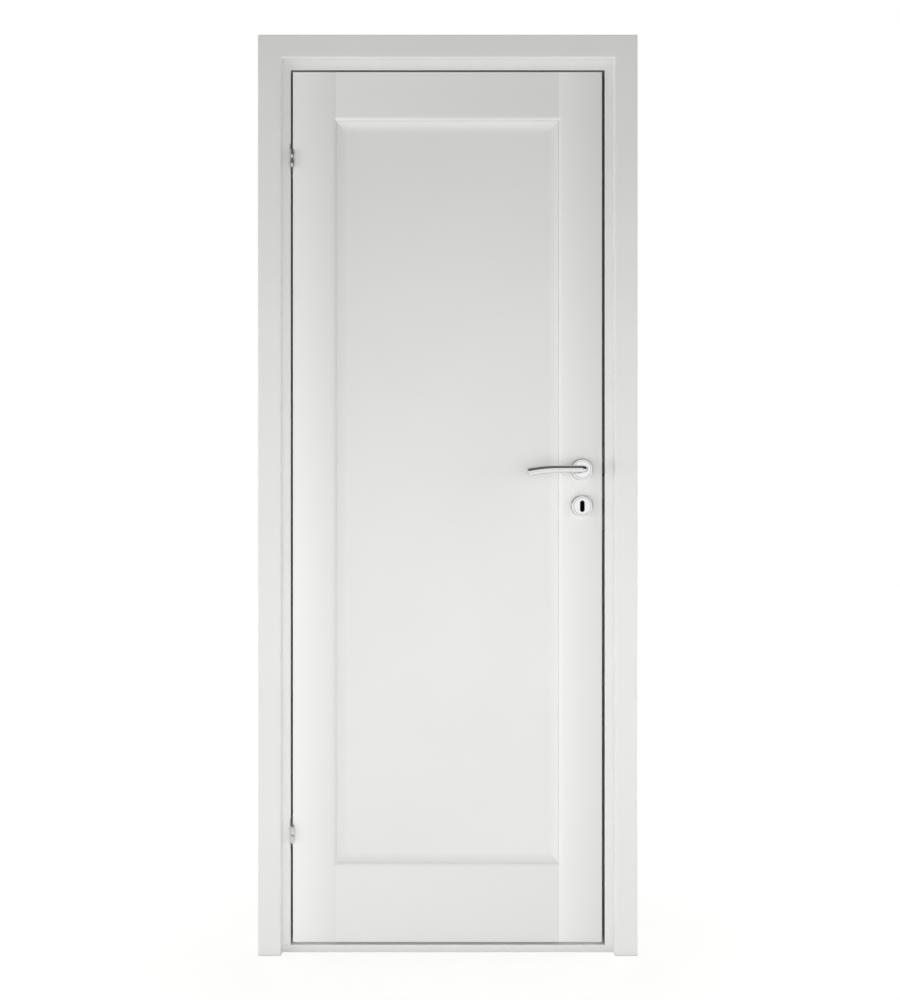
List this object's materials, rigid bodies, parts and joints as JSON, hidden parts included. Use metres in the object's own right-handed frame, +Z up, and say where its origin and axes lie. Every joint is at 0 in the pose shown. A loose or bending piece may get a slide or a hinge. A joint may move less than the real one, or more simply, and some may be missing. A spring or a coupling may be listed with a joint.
{
  "type": "interior door in its frame, with architraves and lever handles",
  "caption": "White painted one-panel interior door leaf hung on lift-off hinges in a rebated frame with architraves, threshold, lever handles and key roses.",
  "frame": {"origin": "on the wall face of the hinge jamb, at half the frame's depth and half its height", "axes": "+X along the wall from the hinge side to the lock side, +Y into the wall away from the side the leaf opens to, +Z up"},
  "size_m": [0.8835, 0.1665, 2.1415],
  "materials": {
    "white_paint": "satin",
    "satin_steel": "satin",
    "polished_metal": "polished"
  },
  "bodies": {
    "frame": {"hinge_jamb": "white_paint", "lock_jamb": "white_paint", "head_jamb": "white_paint", "threshold": "white_paint", "front_hinge_architrave": "white_paint", "front_lock_architrave": "white_paint", "front_head_architrave": "white_paint", "back_hinge_architrave": "white_paint", "back_lock_architrave": "white_paint", "back_head_architrave": "white_paint", "strike_plate": "satin_steel", "upper_hinge_frame_half": "satin_steel", "lower_hinge_frame_half": "satin_steel"},
    "leaf": {"hinge_stile": "white_paint", "lock_stile": "white_paint", "top_rail": "white_paint", "bottom_rail": "white_paint", "panel": "white_paint", "upper_hinge_leaf_half": "satin_steel", "lower_hinge_leaf_half": "satin_steel", "lock_forend": "satin_steel", "latch_bolt": "satin_steel", "dead_bolt": "satin_steel", "front_handle_rose": "polished_metal", "back_handle_rose": "polished_metal", "front_key_rose": "polished_metal", "back_key_rose": "polished_metal"},
    "lever_handle": {"front_lever": "polished_metal", "back_lever": "polished_metal", "spindle": "satin_steel"}
  },
  "joints": [
    {"name": "leaf_swing", "type": "hinge", "parent": "frame", "child": "leaf", "pos_m": [0.0325, -0.0515, 0], "axis": [0, 0, -1], "range_deg": [0, 160]},
    {"name": "lever_turn", "type": "hinge", "parent": "leaf", "child": "lever_handle", "pos_m": [0.709, -0.026, 0.083], "axis": [0, -1, 0], "range_deg": [0, 45], "stiffness_Nm_per_rad": 1.5, "springref_deg": -28.65}
  ]
}
